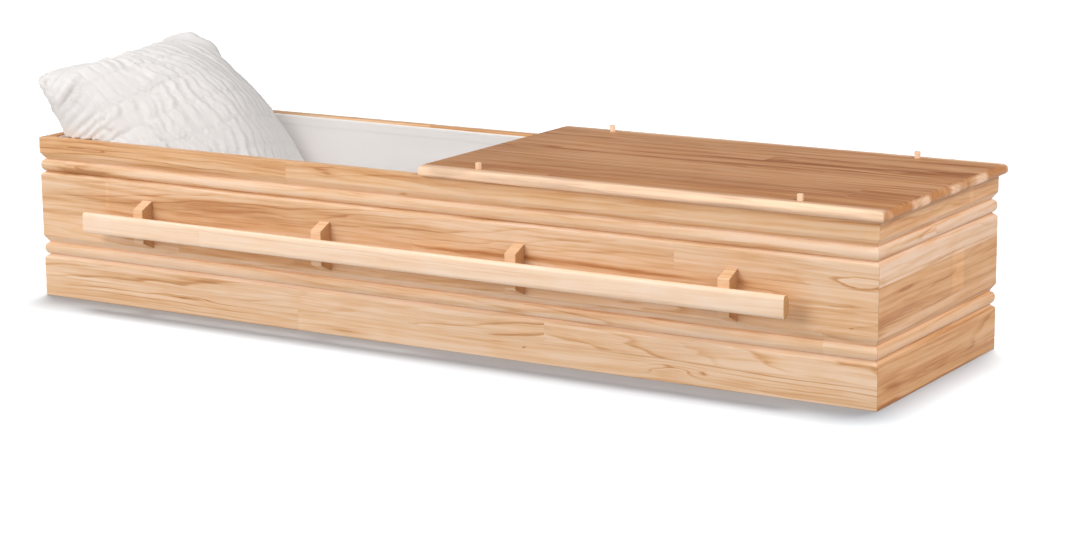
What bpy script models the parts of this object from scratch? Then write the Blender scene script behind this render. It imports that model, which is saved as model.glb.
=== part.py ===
# Wooden casket with a lid over its foot half, open at the head, with a lining, a pillow and a carrying bar a side.
# X runs from the head to the foot, Y from the front to the back and Z up. The origin is the middle of the underside.

import math

import bmesh
import bpy
from mathutils import Vector

# The box: four moulded boards mitred at the corners round a bottom board
BOX_LENGTH = 2.06
BOX_WIDTH = 0.57
BOX_HEIGHT = 0.362
WALL_THICKNESS = 0.025
BOTTOM_THICKNESS = 0.018
RIM_ARRIS = 0.0015
FIT_GAP = 0.0003

# The moulding run twice along every wall: a shoulder in to a groove, a bead, a second groove and a slope out again
MOULDING_FEET = (0.0870, 0.2775)
GROOVE_DEPTH = 0.010
SHOULDER_HEIGHT = 0.0077
BEAD_HEIGHT = 0.0270
BEAD_SETBACK = 0.0010
SLOPE_HEIGHT = 0.0148
EDGE_EASE = 0.0028

# The foot half of the lid, with a rounded edge on the three sides that overhang
LID_THICKNESS = 0.022
LID_OVERHANG = 0.015
LID_HEAD_EDGE = 0.008
LID_TOP_ROUND = 0.0128
LID_BOTTOM_ROUND = 0.0085
LID_CORNER_ROUND = 0.004

# The pegs that stand through the lid in the tops of the long walls
PEG_RADIUS = 0.0062
PEG_PROUD = 0.0135
PEG_SEAT = 0.030
PEG_INSET = 0.016
PEG_PLACES = (0.136, 0.858)
PEG_SIDES = 24

# The carrying bars and the brackets that hold them off the walls
BAR_LENGTH = 1.724
BAR_HEIGHT = 0.0455
BAR_DEPTH = 0.0220
BAR_CENTRE_HEIGHT = 0.1915
BRACKET_WIDTH = 0.027
BRACKET_REACH = 0.035
BRACKET_WALL_HEIGHT = 0.105
BRACKET_NOSE_HEIGHT = 0.074
BRACKET_SPACING = 0.4815
BRACKET_ARRIS = 0.0014

# The fabric lining, an open tray inside the walls
LINING_THICKNESS = 0.005
LINING_CLEARANCE = 0.001
LINING_DROP = 0.004
LINING_CORNER = 0.012

# The pillow, propped on the bottom of the lining and leaning over the head wall
PILLOW_LENGTH = 0.672
PILLOW_WIDTH = 0.496
PILLOW_CROWN = 0.203
PILLOW_BELLY = 0.042
PILLOW_WAIST = 0.085
PILLOW_FULLNESS = 0.35
PILLOW_TILT = math.radians(48.3)
PILLOW_TURN = math.radians(4.6)
PILLOW_CENTRE = (-0.822, -0.0130, 0.2788)

INNER_LENGTH = BOX_LENGTH - 2 * WALL_THICKNESS
INNER_WIDTH = BOX_WIDTH - 2 * WALL_THICKNESS
LID_UNDERSIDE = BOX_HEIGHT + FIT_GAP
LID_TOP = LID_UNDERSIDE + LID_THICKNESS
BRACKET_PLACES = [(step - 1.5) * BRACKET_SPACING for step in range(4)]


def new_collection(name):
    """A collection of this name in the scene, for the casket's pieces or for their cutters"""
    collection = bpy.data.collections.new(name)
    bpy.context.scene.collection.children.link(collection)
    return collection


def finish(name, colour, roughness):
    """A plain surface for one piece"""
    material = bpy.data.materials.new(name)
    material.use_nodes = True
    shader = material.node_tree.nodes["Principled BSDF"]
    shader.inputs["Base Color"].default_value = (*colour, 1.0)
    shader.inputs["Roughness"].default_value = roughness
    shader.inputs["Metallic"].default_value = 0.0
    return material


def wood(name):
    """Clear-lacquered honey-coloured wood for the walls, the lid and the brackets"""
    return finish(name, (0.72, 0.46, 0.24), 0.42)


def pale_wood(name):
    """The paler wood of the bars and pegs"""
    return finish(name, (0.87, 0.67, 0.44), 0.40)


def fabric(name):
    """White cloth for the lining and the pillow"""
    return finish(name, (0.80, 0.78, 0.76), 0.85)


def add_piece(name, mesh, collection, material=None):
    """One named object for a piece, with its own material"""
    piece = bpy.data.objects.new(name, mesh)
    collection.objects.link(piece)
    if material:
        mesh.materials.append(material)
    return piece


def arc(centre, radii, start, end, steps):
    """Points along an elliptical arc, from the start angle to the end angle in degrees, both ends included"""
    points = []
    for step in range(steps + 1):
        angle = math.radians(start + (end - start) * step / steps)
        points.append((centre[0] + radii[0] * math.cos(angle), centre[1] + radii[1] * math.sin(angle)))
    return points


def extruded_outline(outline, length):
    """A closed mesh from a flat outline, extruded half its length to each side of its own plane"""
    curve = bpy.data.curves.new("outline", "CURVE")
    curve.dimensions = "2D"
    curve.fill_mode = "BOTH"
    curve.extrude = length / 2
    spline = curve.splines.new("POLY")
    spline.points.add(len(outline) - 1)
    for point, (x, y) in zip(spline.points, outline):
        point.co = (x, y, 0.0, 1.0)
    spline.use_cyclic_u = True
    holder = bpy.data.objects.new("outline", curve)
    bpy.context.scene.collection.objects.link(holder)
    evaluated = holder.evaluated_get(bpy.context.evaluated_depsgraph_get())
    mesh = bpy.data.meshes.new_from_object(evaluated)
    bpy.data.objects.remove(holder)
    bpy.data.curves.remove(curve)
    solid = bmesh.new()
    solid.from_mesh(mesh)
    bmesh.ops.remove_doubles(solid, verts=solid.verts, dist=0.00001)
    bmesh.ops.recalc_face_normals(solid, faces=solid.faces)
    solid.to_mesh(mesh)
    solid.free()
    return mesh


def shade_round(mesh):
    """Smooth shading that keeps the edges sharper than 35 degrees"""
    mesh.shade_smooth()
    mesh.set_sharp_from_angle(angle=math.radians(35.0))


def eased_corner(before, corner, after):
    """A corner rounded on a quadratic curve between the points that lie the ease away from it, before and after"""
    corner = Vector(corner)
    start = corner + (Vector(before) - corner).normalized() * EDGE_EASE
    end = corner + (Vector(after) - corner).normalized() * EDGE_EASE
    steps = 4
    points = []
    for step in range(steps + 1):
        share = step / steps
        points.append(tuple(start.lerp(corner, share).lerp(corner.lerp(end, share), share)))
    return points


def moulding(foot):
    """One run of moulding from its foot upwards, as points of depth behind the wall's face and height"""
    groove = foot + SHOULDER_HEIGHT
    upper_groove = groove + BEAD_HEIGHT
    head = upper_groove + SLOPE_HEIGHT
    shoulder = eased_corner((0.0, 0.0), (0.0, foot), (GROOVE_DEPTH, groove))
    bead_middle = (GROOVE_DEPTH, groove + BEAD_HEIGHT / 2)
    bead = arc(bead_middle, (BEAD_SETBACK - GROOVE_DEPTH, BEAD_HEIGHT / 2), -90, 90, 12)
    slope = eased_corner((GROOVE_DEPTH, upper_groove), (0.0, head), (0.0, BOX_HEIGHT))
    return shoulder + bead + slope


def wall_section():
    """The wall's section, as points of depth and height: its moulded face upwards, then its flat inner side"""
    lower_foot, upper_foot = MOULDING_FEET
    face = [(0.0, 0.0)] + moulding(lower_foot) + moulding(upper_foot)
    rim = [(0.0, BOX_HEIGHT - RIM_ARRIS), (RIM_ARRIS, BOX_HEIGHT), (WALL_THICKNESS, BOX_HEIGHT)]
    return face + rim + [(WALL_THICKNESS, 0.0)]


def moulded_wall(name, length, place, turn, collection):
    """One wall: the section run along the wall, each end cut back by the depth of the section, which mitres it"""
    mesh = extruded_outline(wall_section(), length)
    mitre_clearance = FIT_GAP / math.sqrt(2)
    for vertex in mesh.vertices:
        depth, height, along = vertex.co
        along -= math.copysign(depth + mitre_clearance, along)
        vertex.co = (along, depth, height)
    shade_round(mesh)
    wall = add_piece(name, mesh, collection, wood(name + "_wood"))
    wall.location = place
    wall.rotation_euler.z = turn
    return wall


def cylinder_mesh(name, radius, bottom, top):
    """An upright cylinder on the Z axis between two heights"""
    solid = bmesh.new()
    bmesh.ops.create_cone(
        solid, cap_ends=True, segments=PEG_SIDES, radius1=radius, radius2=radius, depth=top - bottom
    )
    bmesh.ops.translate(solid, verts=solid.verts, vec=(0.0, 0.0, (top + bottom) / 2))
    mesh = bpy.data.meshes.new(name)
    solid.to_mesh(mesh)
    solid.free()
    return mesh


def drill(piece, cutter):
    """Cuts a piece with a cutter"""
    cut = piece.modifiers.new("drilled_by_" + cutter.name, "BOOLEAN")
    cut.operation = "DIFFERENCE"
    cut.solver = "EXACT"
    cut.object = cutter


def soften(piece, width, segments):
    """Rounds a piece's sharp edges"""
    bevel = piece.modifiers.new("softened_edges", "BEVEL")
    bevel.width = width
    bevel.segments = segments
    bevel.limit_method = "ANGLE"
    bevel.angle_limit = math.radians(30.0)


def bottom_board(collection):
    """The flat bottom, let in between the walls and flush with their lower edges"""
    solid = bmesh.new()
    bmesh.ops.create_cube(solid, size=1.0)
    size = (INNER_LENGTH - 2 * FIT_GAP, INNER_WIDTH - 2 * FIT_GAP, BOTTOM_THICKNESS)
    bmesh.ops.scale(solid, verts=solid.verts, vec=size)
    mesh = bpy.data.meshes.new("bottom_board")
    solid.to_mesh(mesh)
    solid.free()
    board = add_piece("bottom_board", mesh, collection, wood("bottom_board_wood"))
    board.location.z = BOTTOM_THICKNESS / 2
    return board


def foot_lid(collection):
    """The lid over the foot half: a board with its three overhanging edges rounded and its head edge left square"""
    foot_edge = BOX_LENGTH / 2 + LID_OVERHANG
    size = (foot_edge - LID_HEAD_EDGE, BOX_WIDTH + 2 * LID_OVERHANG, LID_THICKNESS)
    half = Vector(size) / 2
    solid = bmesh.new()
    bmesh.ops.create_cube(solid, size=1.0)
    bmesh.ops.scale(solid, verts=solid.verts, vec=size)

    def edges_where(wanted):
        return [edge for edge in solid.edges if all(wanted(vertex.co) for vertex in edge.verts)]

    def round_edges(edges, width, segments):
        bmesh.ops.bevel(
            solid, geom=edges, offset=width, offset_type="OFFSET", segments=segments, profile=0.5, affect="EDGES"
        )

    def at_foot_corner(co):
        return co.x > half.x - 0.001 and abs(co.y) > half.y - 0.001

    round_edges(edges_where(at_foot_corner), LID_CORNER_ROUND, 4)
    for level, width, segments in ((half.z, LID_TOP_ROUND, 6), (-half.z, LID_BOTTOM_ROUND, 5)):

        def at_level(co):
            return abs(co.z - level) < 0.0001

        head_edge = set(edges_where(lambda co: at_level(co) and co.x < 0.001 - half.x))
        level_edges = [edge for edge in edges_where(at_level) if edge not in head_edge and edge.calc_face_angle() > 1]
        round_edges(level_edges, width, segments)

    mesh = bpy.data.meshes.new("foot_lid")
    solid.to_mesh(mesh)
    solid.free()
    shade_round(mesh)
    lid = add_piece("foot_lid", mesh, collection, wood("foot_lid_wood"))
    lid.location = ((foot_edge + LID_HEAD_EDGE) / 2, 0.0, LID_UNDERSIDE + half.z)
    return lid


def lid_pegs(lid, walls, collection, cutters):
    """Four pegs, each through a hole in the lid into a blind hole in the top of a long wall"""
    top = LID_TOP + PEG_PROUD
    foot = BOX_HEIGHT - PEG_SEAT
    for side, wall in walls.items():
        across = math.copysign(BOX_WIDTH / 2 - PEG_INSET, wall.location.y)
        for end, along in zip(("near_middle", "near_foot"), PEG_PLACES):
            name = f"lid_peg_{side}_{end}"
            peg = add_piece(name, cylinder_mesh(name, PEG_RADIUS, foot + FIT_GAP, top), collection)
            peg.data.materials.append(pale_wood(name + "_wood"))
            peg.location = (along, across, 0.0)
            soften(peg, 0.001, 2)
            drill_mesh = cylinder_mesh(name + "_hole", PEG_RADIUS + FIT_GAP, foot, top)
            hole = add_piece(name + "_hole", drill_mesh, cutters)
            hole.location = peg.location
            hole.hide_render = True
            hole.display_type = "WIRE"
            drill(lid, hole)
            drill(wall, hole)


def bracket_mesh():
    """A bracket: a block whose top and bottom slope in from the wall to the bar, in distance from the wall and height"""
    outline = [
        (FIT_GAP, -BRACKET_WALL_HEIGHT / 2),
        (BRACKET_REACH, -BRACKET_NOSE_HEIGHT / 2),
        (BRACKET_REACH, BRACKET_NOSE_HEIGHT / 2),
        (FIT_GAP, BRACKET_WALL_HEIGHT / 2),
    ]
    return stand_upright(extruded_outline(outline, BRACKET_WIDTH))


def bar_mesh():
    """A carrying bar: its face nearly flat with eased edges, its back rounded to the hand but for a flat on the brackets"""
    half = BAR_HEIGHT / 2
    back = BRACKET_REACH + FIT_GAP
    face = back + BAR_DEPTH
    face_round = (0.0055, 0.0100)
    back_round = (0.0130, 0.0150)
    outline = arc((face - face_round[0], face_round[1] - half), face_round, -90, 0, 5)
    outline += arc((face - face_round[0], half - face_round[1]), face_round, 0, 90, 5)
    outline += arc((back + back_round[0], half - back_round[1]), back_round, 90, 180, 6)
    outline += arc((back + back_round[0], back_round[1] - half), back_round, 180, 270, 6)
    return stand_upright(extruded_outline(outline, BAR_LENGTH))


def stand_upright(mesh):
    """Turns an extruded outline so that its height stands on Z, its length lies on X and it reaches out along -Y"""
    for vertex in mesh.vertices:
        reach, height, along = vertex.co
        vertex.co = (along, -reach, height)
    solid = bmesh.new()
    solid.from_mesh(mesh)
    bmesh.ops.recalc_face_normals(solid, faces=solid.faces)
    solid.to_mesh(mesh)
    solid.free()
    shade_round(mesh)
    return mesh


def carrying_side(side, facing, collection):
    """A bar on four brackets on one long wall. Facing is -1 on the front and 1 on the back"""
    turn = 0.0 if facing < 0 else math.pi
    height = BAR_CENTRE_HEIGHT
    bar = add_piece(f"{side}_carrying_bar", bar_mesh(), collection, pale_wood(f"{side}_carrying_bar_wood"))
    bar.location = (0.0, facing * BOX_WIDTH / 2, height)
    bar.rotation_euler.z = turn
    for number, along in enumerate(BRACKET_PLACES, start=1):
        name = f"{side}_bar_bracket_{number}"
        bracket = add_piece(name, bracket_mesh(), collection, wood(name + "_wood"))
        bracket.location = (along, facing * BOX_WIDTH / 2, height)
        bracket.rotation_euler.z = turn
        soften(bracket, BRACKET_ARRIS, 2)


def lining(collection):
    """The sewn cloth lining: an open tray with rounded corners, thickened inwards from its outer face"""
    floor = BOTTOM_THICKNESS + LINING_CLEARANCE
    rim = BOX_HEIGHT - LINING_DROP
    size = (INNER_LENGTH - 2 * LINING_CLEARANCE, INNER_WIDTH - 2 * LINING_CLEARANCE, rim - floor)
    tray = bmesh.new()
    bmesh.ops.create_cube(tray, size=1.0)
    bmesh.ops.scale(tray, verts=tray.verts, vec=size)
    open_top = [face for face in tray.faces if face.normal.z > 0.5]
    bmesh.ops.delete(tray, geom=open_top, context="FACES")
    folded = [edge for edge in tray.edges if not edge.is_boundary]
    bmesh.ops.bevel(
        tray, geom=folded, offset=LINING_CORNER, offset_type="OFFSET", segments=3, profile=0.5, affect="EDGES"
    )
    mesh = bpy.data.meshes.new("lining")
    tray.to_mesh(mesh)
    tray.free()
    shade_round(mesh)
    piece = add_piece("lining", mesh, collection, fabric("lining_cloth"))
    piece.location.z = (floor + rim) / 2
    wall = piece.modifiers.new("cloth_thickness", "SOLIDIFY")
    wall.thickness = LINING_THICKNESS
    wall.offset = -1.0
    wall.use_even_offset = True
    return piece


def pillow_point(along, across, over):
    """A point of the pillow's skin. Along and across run from -1 to 1 over its face, and over is 1 on top, -1 below"""
    along = math.sin(math.pi / 2 * along)
    across = math.sin(math.pi / 2 * across)
    waist_along = 1 - PILLOW_WAIST * (1 - across ** 2)
    waist_across = 1 - PILLOW_WAIST * (1 - along ** 2)
    swell = max((1 - along ** 2) * (1 - across ** 2), 0.0) ** PILLOW_FULLNESS
    depth = PILLOW_CROWN * swell if over > 0 else -PILLOW_BELLY * swell
    return Vector((along * waist_along * PILLOW_LENGTH / 2, across * waist_across * PILLOW_WIDTH / 2, depth))


def pillow(collection):
    """A crowned pillow whose sides pull in between its corners, from a coarse cage with a subdivision surface"""
    cells = 8
    cage = bmesh.new()
    bmesh.ops.create_cube(cage, size=2.0)
    side_edges = [edge for edge in cage.edges if abs(edge.verts[0].co.z - edge.verts[1].co.z) < 1]
    bmesh.ops.subdivide_edges(cage, edges=side_edges, cuts=cells - 1, use_grid_fill=True)
    for vertex in cage.verts:
        vertex.co = pillow_point(*vertex.co)
    bmesh.ops.remove_doubles(cage, verts=cage.verts, dist=0.0005)
    bmesh.ops.recalc_face_normals(cage, faces=cage.faces)
    mesh = bpy.data.meshes.new("pillow")
    cage.to_mesh(mesh)
    cage.free()
    mesh.shade_smooth()
    piece = add_piece("pillow", mesh, collection, fabric("pillow_cloth"))
    piece.location = PILLOW_CENTRE
    piece.rotation_mode = "ZYX"
    piece.rotation_euler = (0.0, PILLOW_TILT, PILLOW_TURN)
    smooth = piece.modifiers.new("smooth_form", "SUBSURF")
    smooth.levels = 1
    smooth.render_levels = 1
    return piece


def casket():
    """The whole casket, put together from the walls inwards and outwards"""
    for leftover in list(bpy.data.objects):
        bpy.data.objects.remove(leftover)
    pieces = new_collection("casket")
    cutters = new_collection("casket_cutters")
    half_length = BOX_LENGTH / 2
    half_width = BOX_WIDTH / 2
    front = moulded_wall("front_wall", BOX_LENGTH, (0.0, -half_width, 0.0), 0.0, pieces)
    back = moulded_wall("back_wall", BOX_LENGTH, (0.0, half_width, 0.0), math.pi, pieces)
    moulded_wall("head_wall", BOX_WIDTH, (-half_length, 0.0, 0.0), -math.pi / 2, pieces)
    moulded_wall("foot_wall", BOX_WIDTH, (half_length, 0.0, 0.0), math.pi / 2, pieces)
    bottom_board(pieces)
    lid = foot_lid(pieces)
    lid_pegs(lid, {"front": front, "back": back}, pieces, cutters)
    carrying_side("front", -1, pieces)
    carrying_side("back", 1, pieces)
    lining(pieces)
    pillow(pieces)


casket()
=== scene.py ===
import math

import bmesh
import bpy
from mathutils import Euler, Matrix, Vector, noise


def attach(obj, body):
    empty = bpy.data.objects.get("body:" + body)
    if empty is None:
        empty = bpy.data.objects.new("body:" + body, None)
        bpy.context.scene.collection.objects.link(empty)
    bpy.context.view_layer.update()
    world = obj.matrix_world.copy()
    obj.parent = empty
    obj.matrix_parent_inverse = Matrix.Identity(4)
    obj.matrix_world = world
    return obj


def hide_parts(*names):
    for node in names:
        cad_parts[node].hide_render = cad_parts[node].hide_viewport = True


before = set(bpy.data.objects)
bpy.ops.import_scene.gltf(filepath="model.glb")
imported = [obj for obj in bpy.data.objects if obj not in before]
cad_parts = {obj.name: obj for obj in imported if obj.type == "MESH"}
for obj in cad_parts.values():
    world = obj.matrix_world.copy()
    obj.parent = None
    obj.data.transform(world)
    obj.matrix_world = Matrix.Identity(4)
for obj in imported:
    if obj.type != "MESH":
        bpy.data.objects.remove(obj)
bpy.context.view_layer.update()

# The four walls: boards glued up from staves of honey-coloured wood. Two runs of moulding go along each face:
# a shoulder in to a groove, a half-round bead, a second groove and a slope out again. The ends are mitred,
# and the tops of the two long walls are drilled for the pegs that locate the lid.
BOX_LENGTH, BOX_WIDTH, BOX_HEIGHT = 2.06, 0.57, 0.362
WALL_THICKNESS = 0.025
FIT_GAP = 0.0003
MOULDING_FEET = (0.087, 0.2775)
GROOVE_DEPTH = 0.01
SHOULDER_HEIGHT = 0.0077
BEAD_HEIGHT = 0.027
BEAD_SETBACK = 0.001
SLOPE_HEIGHT = 0.0148
EDGE_EASE = 0.0028
RIM_ARRIS = 0.0015
PEG_RADIUS = 0.0062
PEG_SEAT = 0.03
PEG_INSET = 0.016
PEG_PLACES = (0.136, 0.858)
DRILL_LENGTH = 0.1
RING_TONES = ((0.0, 0.02), (0.65, 0.2), (0.9, 1.0), (1.0, 0.02))
GLUE_WIDTH = 0.0005
EDGE_PALE_BLEND = 0.028


def fill(socket, value):
    """Gives an input socket what another node works out, or a constant"""
    if isinstance(value, bpy.types.NodeSocket):
        socket.id_data.links.new(value, socket)
    elif value is not None:
        socket.default_value = value


def put(tree, kind, *values, **settings):
    """Adds a node to a tree and returns its first output. Values fill the shown inputs in order"""
    node = tree.nodes.new(kind)
    for setting, value in settings.items():
        setattr(node, setting, value)
    shown = [socket for socket in node.inputs if socket.enabled]
    for socket, value in zip(shown, values):
        fill(socket, value)
    return next((socket for socket in node.outputs if socket.enabled), None)


def reckon(tree, operation, *values):
    """One step of arithmetic in a tree"""
    return put(tree, "ShaderNodeMath", *values, operation=operation)


def triple(tree, *values):
    """Three numbers of a tree as one vector"""
    return put(tree, "ShaderNodeCombineXYZ", *values)


def new_tree(name, inputs):
    """An empty geometry tree with these inputs, as (name, kind, value), and the outputs that carry them"""
    tree = bpy.data.node_groups.new(name, "GeometryNodeTree")
    tree.interface.new_socket("Shape", in_out="INPUT", socket_type="NodeSocketGeometry")
    for label, kind, value in inputs:
        socket = tree.interface.new_socket(label, in_out="INPUT", socket_type="NodeSocket" + kind)
        if value is not None:
            socket.default_value = value
    tree.interface.new_socket("Shape", in_out="OUTPUT", socket_type="NodeSocketGeometry")
    entry = tree.nodes.new("NodeGroupInput")
    return tree, {socket.name: socket for socket in entry.outputs if socket.name}


def end_tree(tree, shape, material):
    """Closes a geometry tree: instances made real, and the material set"""
    real = put(tree, "GeometryNodeRealizeInstances", shape)
    finished = put(tree, "GeometryNodeSetMaterial", real, None, material)
    put(tree, "NodeGroupOutput", finished)


def shown_object(name, data):
    """An object for this mesh or curve, in the scene"""
    piece = bpy.data.objects.new(name, data)
    bpy.context.scene.collection.objects.link(piece)
    return piece


def mesh_of(name, shape, material=None):
    """The mesh of a shape that was put together in memory, which is then let go"""
    mesh = bpy.data.meshes.new(name)
    shape.to_mesh(mesh)
    shape.free()
    if material:
        mesh.materials.append(material)
    return mesh


def join_loops(shape, loops):
    """Faces between each closed loop of points and the next"""
    for one, other in zip(loops, loops[1:]):
        for this in range(len(one)):
            following = (this + 1) % len(one)
            shape.faces.new((one[this], one[following], other[following], other[this]))


def made_plain(name, holder):
    """What an object's modifiers make of it, as a plain mesh on a new object. The first object goes"""
    bpy.context.view_layer.update()
    evaluated = holder.evaluated_get(bpy.context.evaluated_depsgraph_get())
    mesh = bpy.data.meshes.new_from_object(evaluated)
    bpy.data.objects.remove(holder)
    mesh.name = name
    return shown_object(name, mesh)


def grown(name, data, tree, values):
    """The plain mesh that a geometry tree makes from a mesh or a curve"""
    holder = shown_object(name + "_holder", data)
    growth = holder.modifiers.new(tree.name, "NODES")
    growth.node_group = tree
    for socket in tree.interface.items_tree:
        if socket.item_type == "SOCKET" and socket.in_out == "INPUT" and socket.name in values:
            growth[socket.identifier] = values[socket.name]
    return made_plain(name, holder)


def shade_round(piece, angle=35.0):
    """Smooth shading that keeps the edges sharper than this angle"""
    piece.data.shade_smooth()
    piece.data.set_sharp_from_angle(angle=math.radians(angle))


def new_finish(name):
    """A new material, the function that adds nodes to it, and its shader"""
    material = bpy.data.materials.new(name)
    material.use_nodes = True

    def add(kind, *values, **settings):
        return put(material.node_tree, "ShaderNode" + kind, *values, **settings)

    return material, add, material.node_tree.nodes["Principled BSDF"]


def set_shader(shader, values):
    """Gives the sockets of a shader, by name, their constants and what the nodes work out"""
    for label, value in values.items():
        fill(shader.inputs[label], value)


def wood_finish(
    name, tones, turn=(0.0, 0.0, 0.0), rows=((0.0, 0.5, 0.5, 0.5),), span=(0.0, 1.0), stave=3.1, ring=0.0085,
    marks=(), blocks=(), contrast=1.4, end_blocks=None, pale_edge_and_highlight=None, roughness=0.46, gloss=0.22, coat=0.0,
    seed=0.0,
):
    """Oiled solid wood, cut from a log whose grain runs on X once the piece is turned. Its tones go from the
    palest to the end grain. Rows of staves lie above each other, each from its lower edge, with a
    lightness, a warmth and a strength of figure from 0 to 1. A mark is a darker or paler place: in
    millimetres where it is and how long and high, then how strong, and in millimetres how far the rings
    bend round it. A block is let in: where it is, half its size, and how much paler"""
    material, add, shader = new_finish(name)

    def maths(operation, *values):
        return add("Math", *values, operation=operation)

    def times(*values):
        return maths("MULTIPLY", *values)

    def vector(operation, *values):
        return add("VectorMath", *values, operation=operation)

    def mixed(factor, first, second, blend="MIX"):
        return add("Mix", factor, first, second, data_type="RGBA", blend_type=blend)

    def ramp(amount, blending, stops):
        """The outputs of a ramp through these stops, each with its place and its four channels"""
        node = add("ValToRGB", amount).node
        node.color_ramp.interpolation = blending
        elements = node.color_ramp.elements
        for number, (at, channels) in enumerate(stops):
            element = elements[number] if number < 2 else elements.new(at)
            element.position = at
            element.color = channels
        if len(stops) == 1:
            elements.remove(elements[1])
        return node.outputs

    def total(*values):
        result = values[0]
        for value in values[1:]:
            result = maths("ADD", result, value)
        return result

    def swing(value, amount):
        """A texture from 0 to 1 as a swing of this size about nothing"""
        return times(maths("SUBTRACT", value, 0.5), amount)

    here = add("TexCoord").node.outputs["Object"]
    board = add("Mapping", here, (0.0, 0.0, 0.0), turn)
    parts = add("SeparateXYZ", board).node.outputs
    along, depth, across = parts[0], parts[1], parts[2]

    # The staves: each row has its own tone, and each stave along it its own place in the log
    level = add("MapRange", across, span[0], span[1], 0.0, 1.0)
    steps = ramp(level, "CONSTANT", [
        ((edge - span[0]) / (span[1] - span[0]), (tone, warmth, strength, (number * 0.37 + 0.11) % 1.0))
        for number, (edge, tone, warmth, strength) in enumerate(rows)
    ])
    row = add("SeparateColor", steps["Color"]).node.outputs
    row_seed = steps["Alpha"]
    column_at = maths("ADD", maths("DIVIDE", along, stave), times(row_seed, 37.3))
    stave_number = maths("FLOOR", column_at)
    stave_key = add("CombineXYZ", times(row_seed, 91.7), stave_number, seed)
    stave_random = add("TexWhiteNoise", stave_key).node.outputs["Color"]
    chance = add("SeparateColor", stave_random).node.outputs
    log_shift = vector("MULTIPLY", stave_random, (11.0, 11.0, 11.0))

    # The grain wanders a little, and bends round the marks
    sway_at = vector("ADD", vector("MULTIPLY", board, (1.6, 5.0, 5.0)), log_shift)
    sway = add("TexNoise", sway_at, 1.0, 1.0)
    wandered = vector("ADD", board, add("CombineXYZ", 0.0, swing(sway, 0.02), swing(sway, 0.045)))

    def figured(scale, detail=1.0, rough=0.5):
        place = vector("ADD", vector("MULTIPLY", wandered, scale), log_shift)
        return add("TexNoise", place, 1.0, detail, rough)

    log_depth = total(depth, times(chance[0], 0.09), times(along, swing(chance[2], 0.07)), 0.03)
    log_across = total(across, swing(chance[1], 0.34), times(along, swing(chance[0], 0.05)), -sum(span) / 2)
    radius = vector("LENGTH", add("CombineXYZ", 0.0, log_depth, log_across))
    radius = total(radius, swing(figured((1.4, 9.0, 9.0)), 0.03), swing(figured((9.0, 60.0, 60.0)), 0.006))
    spots, lively = [], 0.0
    if marks:
        uneven = add("TexNoise", vector("MULTIPLY", board, (9.0, 60.0, 60.0)), 1.0, 2.0, 0.6)
        uneven = vector("SUBTRACT", uneven.node.outputs["Color"], (0.5, 0.5, 0.5))
        wavy = vector("ADD", board, vector("MULTIPLY", uneven, (0.06, 0.0, 0.012)))
    for mark_along, mark_across, length, height, strength, *bend in marks:
        offset = vector("SUBTRACT", wavy, (mark_along / 1000, 0.0, mark_across / 1000))
        reach = vector("LENGTH", vector("MULTIPLY", offset, (1000 / length, 0.0, 1000 / height)))
        fall = maths("EXPONENT", times(times(reach, reach), -1.0))
        spots.append(times(fall, strength))
        if bend:
            radius = total(radius, times(fall, bend[0] / 1000))
            lively = total(times(fall, abs(bend[0]) / 20), lively)
    year = maths("DIVIDE", radius, ring)
    growth = ramp(maths("FRACT", year), "EASE", [(at, (tone, tone, tone, 1.0)) for at, tone in RING_TONES])
    growth = growth["Color"]
    year_strength = add("TexNoise", times(year, 0.9), 1.0, 2.0, noise_dimensions="1D")
    plain = add("MapRange", figured((2.2, 14.0, 14.0)), 0.35, 0.65, 0.15, 1.0)
    year_strength = times(times(year_strength, year_strength), plain)
    year_strength = total(times(times(year_strength, row[2]), 3.3), lively)
    year_line = times(growth, year_strength)

    # Broad and narrow streaks, fibres, soft mottling and a few pin knots
    broad = figured((1.0, 30.0, 30.0), 2.0, 0.55)
    streak = figured((2.6, 105.0, 105.0), 3.0, 0.62)
    fibre = figured((9.0, 430.0, 430.0), 3.0, 0.65)
    mottle = figured((14.0, 34.0, 34.0), 2.0)
    cell = add("TexVoronoi", vector("MULTIPLY", board, (7.0, 19.0, 19.0)), 1.0)
    cell_chance = add("SeparateColor", cell.node.outputs["Color"]).node.outputs[0]
    pin = times(maths("LESS_THAN", cell, 0.03), maths("GREATER_THAN", cell_chance, 0.94))
    share = total(
        year_line, swing(broad, 0.75 * contrast), swing(streak, 0.95 * contrast), swing(fibre, 0.5),
        swing(mottle, 0.16), times(pin, 0.5), swing(row[0], -0.5), 0.28, *spots,
    )
    timber = ramp(share, "B_SPLINE", [(number / 3, (*tint, 1.0)) for number, tint in enumerate(tones[:4])])
    warmth = total(row[1], swing(chance[0], 0.06), swing(mottle, 0.5), swing(broad, -0.5))
    warmth = mixed(warmth, (1.0, 1.09, 1.26, 1.0), (1.0, 0.88, 0.7, 1.0))
    colour = mixed(1.0, timber["Color"], warmth, "MULTIPLY")
    tone = total(times(row[0], 0.3), swing(chance[1], 0.03), 0.85)
    for block_along, block_across, half_length, half_height, lift in blocks:
        inside = times(maths("COMPARE", along, block_along, half_length),
                       maths("COMPARE", across, block_across, half_height))
        tone = total(tone, times(inside, lift))

    # A pale band along the long edges: partly paler wood, partly a painted highlight of the rounded edges
    if pale_edge_and_highlight:
        edge, pale_edge_tone = pale_edge_and_highlight
        outer = add("MapRange", maths("ABSOLUTE", across), edge, edge + EDGE_PALE_BLEND, 0.0, 1.0)
        streaked = add("MapRange", share, 0.0, 0.6, 1.08, 0.74)
        colour = mixed(outer, colour, vector("SCALE", pale_edge_tone, streaked))

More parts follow.
